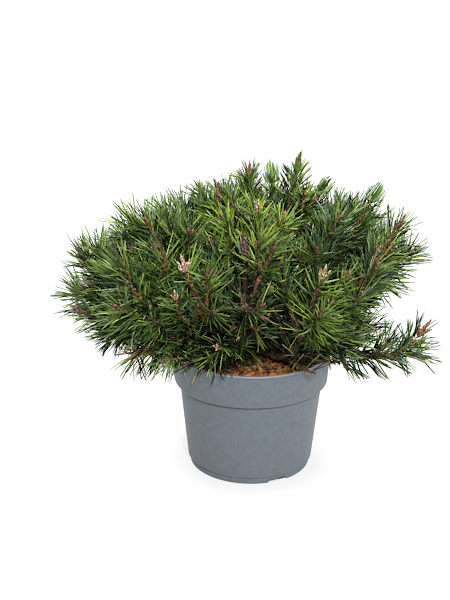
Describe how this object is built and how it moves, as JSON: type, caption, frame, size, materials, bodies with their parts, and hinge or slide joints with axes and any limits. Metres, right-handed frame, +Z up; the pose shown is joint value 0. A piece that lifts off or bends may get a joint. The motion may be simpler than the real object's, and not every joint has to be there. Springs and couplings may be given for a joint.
{
  "type": "potted mugo pine",
  "caption": "Dwarf mountain pine: a low, wide dome of needled shoots on short upswept boughs, growing from a filled round nursery pot with a collar.",
  "frame": {"origin": "on the pot's axis, at the centre of its underside, at the level it stands on", "axes": "+Z up along the pot's axis, -Y the front, +X to the right, towards the long low branch"},
  "size_m": [0.4355, 0.394, 0.3506],
  "materials": {
    "pot_plastic": "injection-moulded polypropylene, blue-grey, satin",
    "bark_chips": "moist potting mix topped with orange-brown bark chips and coir",
    "bark": "rough scaly bark and shoot skin, grey-brown to orange-brown",
    "foliage": "stiff paired needles, dark to yellow-green, with brown resinous buds"
  },
  "bodies": {
    "root": {"pot": "pot_plastic", "potting_mix": "bark_chips", "trunk": "bark", "bough_front": "bark", "bough_front_right": "bark", "bough_right_front": "bark", "bough_right": "bark", "bough_back_right": "bark", "bough_back": "bark", "bough_back_left": "bark", "bough_left": "bark", "bough_front_left": "bark", "bough_top_front": "bark", "bough_upper_right_front": "bark", "bough_upper_right": "bark", "bough_top_right": "bark", "bough_top_back": "bark", "bough_top_left": "bark", "bough_upper_back_left": "bark", "bough_upper_left": "bark", "bough_front_left_inner": "bark", "bough_front_low": "bark", "bough_front_right_low": "bark", "bough_right_low": "bark", "bough_back_right_low": "bark", "bough_back_low": "bark", "bough_back_left_low": "bark", "bough_left_low": "bark", "bough_front_left_under": "bark", "bough_front_left_low": "bark", "bough_front_middle": "bark", "foliage_front": "foliage", "foliage_front_right": "foliage", "foliage_right_front": "foliage", "foliage_right": "foliage", "foliage_back_right": "foliage", "foliage_back": "foliage", "foliage_back_left": "foliage", "foliage_left": "foliage", "foliage_front_left": "foliage", "foliage_top_front": "foliage", "foliage_upper_right_front": "foliage", "foliage_upper_right": "foliage", "foliage_top_right": "foliage", "foliage_top_back": "foliage", "foliage_top_left": "foliage", "foliage_upper_back_left": "foliage", "foliage_upper_left": "foliage", "foliage_front_left_inner": "foliage", "foliage_front_low": "foliage", "foliage_front_right_low": "foliage", "foliage_right_low": "foliage", "foliage_back_right_low": "foliage", "foliage_back_low": "foliage", "foliage_back_left_low": "foliage", "foliage_left_low": "foliage", "foliage_front_left_under": "foliage", "foliage_front_left_low": "foliage", "foliage_front_middle": "foliage"}
  },
  "joints": []
}
